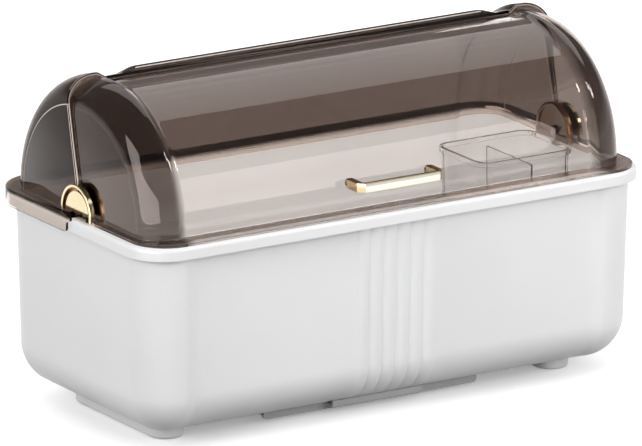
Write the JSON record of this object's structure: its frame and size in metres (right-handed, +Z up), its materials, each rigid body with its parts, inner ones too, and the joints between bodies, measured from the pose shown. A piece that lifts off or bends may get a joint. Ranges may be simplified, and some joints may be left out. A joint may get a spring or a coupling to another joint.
{
  "type": "covered dish drainer",
  "caption": "Rounded tub on foot rails with a pull-out drip tray, an inner drain rack, plate combs and cutlery caddy, under a see-through arched lid whose front door swings up.",
  "frame": {"origin": "middle of the bounding box in plan, on the floor the pads stand on", "axes": "+X along the tub to its right end, +Y to the back, +Z up; -Y is the front with the door's handle"},
  "size_m": [0.496, 0.2496, 0.2921],
  "materials": {
    "white_plastic": "satin white",
    "rack_plastic": "satin off-white",
    "tray_plastic": "satin grey",
    "pad_rubber": "matt black",
    "smoke_plastic": "clear smoke brown, polished",
    "caddy_plastic": "clear light grey",
    "gilt_metal": "polished pale gold",
    "screw_steel": "bright"
  },
  "bodies": {
    "basin": {"tub": "white_plastic", "foot_rail_left": "white_plastic", "foot_rail_right": "white_plastic", "pad_front_left": "pad_rubber", "pad_front_right": "pad_rubber", "pad_rear_left": "pad_rubber", "pad_rear_right": "pad_rubber", "tray_runner_left": "white_plastic", "tray_runner_right": "white_plastic"},
    "tray": {"drip_tray": "tray_plastic"},
    "rack": {"drain_rack": "rack_plastic", "plate_comb_left": "rack_plastic", "plate_comb_right": "rack_plastic"},
    "caddy": {"cutlery_caddy": "caddy_plastic"},
    "cover": {"rear_cover": "smoke_plastic", "hinge_cap_left": "gilt_metal", "hinge_cap_right": "gilt_metal", "hinge_pin_left": "screw_steel", "hinge_pin_right": "screw_steel"},
    "door": {"front_door": "smoke_plastic", "door_handle": "gilt_metal", "handle_screw_left": "screw_steel", "handle_screw_right": "screw_steel", "hinge_plate_left": "gilt_metal", "hinge_plate_right": "gilt_metal"}
  },
  "joints": [
    {"name": "door_hinge", "type": "hinge", "parent": "cover", "child": "door", "pos_m": [0, -0.00125, 0.184], "axis": [-1, 0, 0], "range_deg": [0, 85]},
    {"name": "tray_slide", "type": "slide", "parent": "basin", "child": "tray", "axis": [0, -1, 0], "range_m": [0, 0.13]},
    {"name": "cover_lift", "type": "slide", "parent": "basin", "child": "cover", "axis": [0, 0, 1], "range_m": [0, 0.12]},
    {"name": "rack_lift", "type": "slide", "parent": "basin", "child": "rack", "axis": [0, 0, 1], "range_m": [0, 0.012]},
    {"name": "caddy_lift", "type": "slide", "parent": "rack", "child": "caddy", "axis": [0, 0, 1], "range_m": [0, 0.012]}
  ]
}
